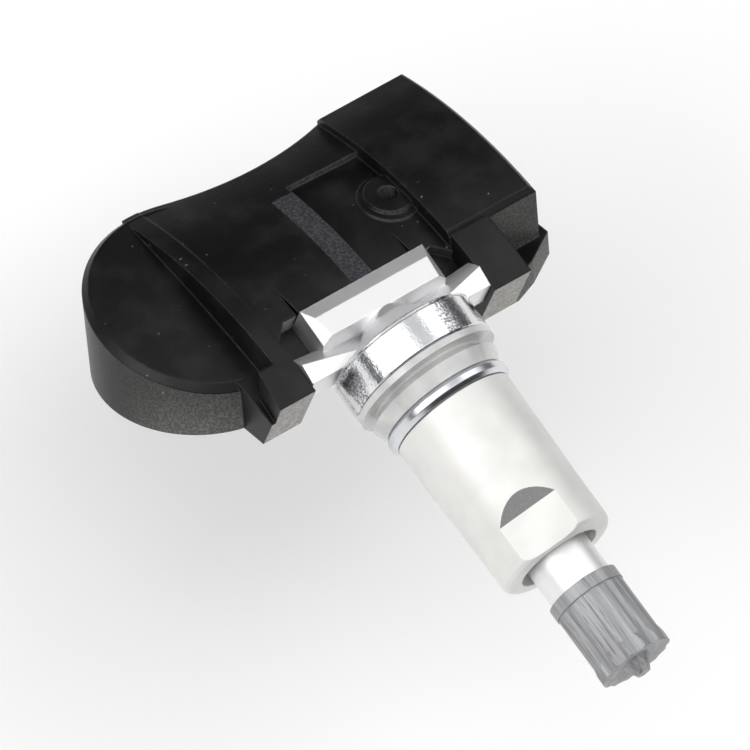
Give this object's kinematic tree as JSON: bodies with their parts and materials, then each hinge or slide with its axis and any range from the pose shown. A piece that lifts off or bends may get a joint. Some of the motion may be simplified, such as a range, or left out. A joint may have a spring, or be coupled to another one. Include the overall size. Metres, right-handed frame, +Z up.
{
  "type": "tyre pressure sensor",
  "caption": "Tyre pressure sensor with a black moulded housing, a bright clamp-in valve stem, a pale grommet, a long satin nut with wrench flats and a fluted grey cap",
  "frame": {"origin": "on the valve axis, in the plane of the ears' front faces at the inside of the rim", "axes": "-Y along the valve to its tip, +X to the raised box, +Z up from the housing"},
  "size_m": [0.0526, 0.0774, 0.0285],
  "materials": {
    "shell_black": "fine moulded grain, glass-filled",
    "stem_metal": "bright nickel-plated",
    "nut_metal": "satin silver",
    "washer_metal": "bright",
    "seal_rubber": "pale grey, smooth",
    "cap_grey": "satin silver-grey",
    "inner_rubber": "smooth",
    "brass": "machined",
    "spring_steel": "drawn wire",
    "cell_steel": "pressed, nickel-plated",
    "board_green": "solder mask",
    "chip_black": "moulded",
    "capacitor_ceramic": "fired ceramic",
    "ferrite": "sintered",
    "copper": "enamelled wire"
  },
  "bodies": {
    "sensor": {"housing": "shell_black", "base_cover": "shell_black", "battery": "cell_steel", "battery_tab_positive": "cell_steel", "battery_tab_negative": "cell_steel", "circuit_board": "board_green", "pressure_sensor": "cell_steel", "port_seal": "inner_rubber", "controller_chip": "chip_black", "crystal": "cell_steel", "capacitors": "capacitor_ceramic", "coil_core": "ferrite", "coil_winding": "copper", "valve_stem": "stem_metal", "seal_grommet": "seal_rubber", "core_body": "brass", "core_gasket": "inner_rubber", "core_spring": "spring_steel"},
    "washer": {"nut_washer": "washer_metal"},
    "nut": {"nut": "nut_metal"},
    "cap_disc": {"cap_seal": "inner_rubber"},
    "cap": {"cap": "cap_grey"},
    "pin": {"core_pin": "brass", "core_poppet": "brass", "core_seat_seal": "inner_rubber"}
  },
  "joints": [
    {"name": "nut_travel", "type": "slide", "parent": "sensor", "child": "washer", "axis": [0, -1, 0], "range_m": [0, 0.012]},
    {"name": "nut_turn", "type": "hinge", "parent": "washer", "child": "nut", "pos_m": [0, -0.0098, 0], "axis": [0, -1, 0], "range_deg": [0, 4356]},
    {"name": "cap_travel", "type": "slide", "parent": "sensor", "child": "cap_disc", "axis": [0, -1, 0], "range_m": [0, 0.0091]},
    {"name": "cap_turn", "type": "hinge", "parent": "cap_disc", "child": "cap", "pos_m": [0, -0.044, 0], "axis": [0, -1, 0], "range_deg": [0, 4170]},
    {"name": "pin_push", "type": "slide", "parent": "sensor", "child": "pin", "axis": [0, 1, 0], "range_m": [0, 0.001], "stiffness_N_per_m": 800, "springref_m": -0.004, "deforming": ["core_spring"]}
  ],
  "couplings": [
    {"joint": "nut_turn", "follows": "nut_travel", "rad_per_m": 6283.2},
    {"joint": "cap_turn", "follows": "cap_travel", "rad_per_m": 7915.8}
  ]
}
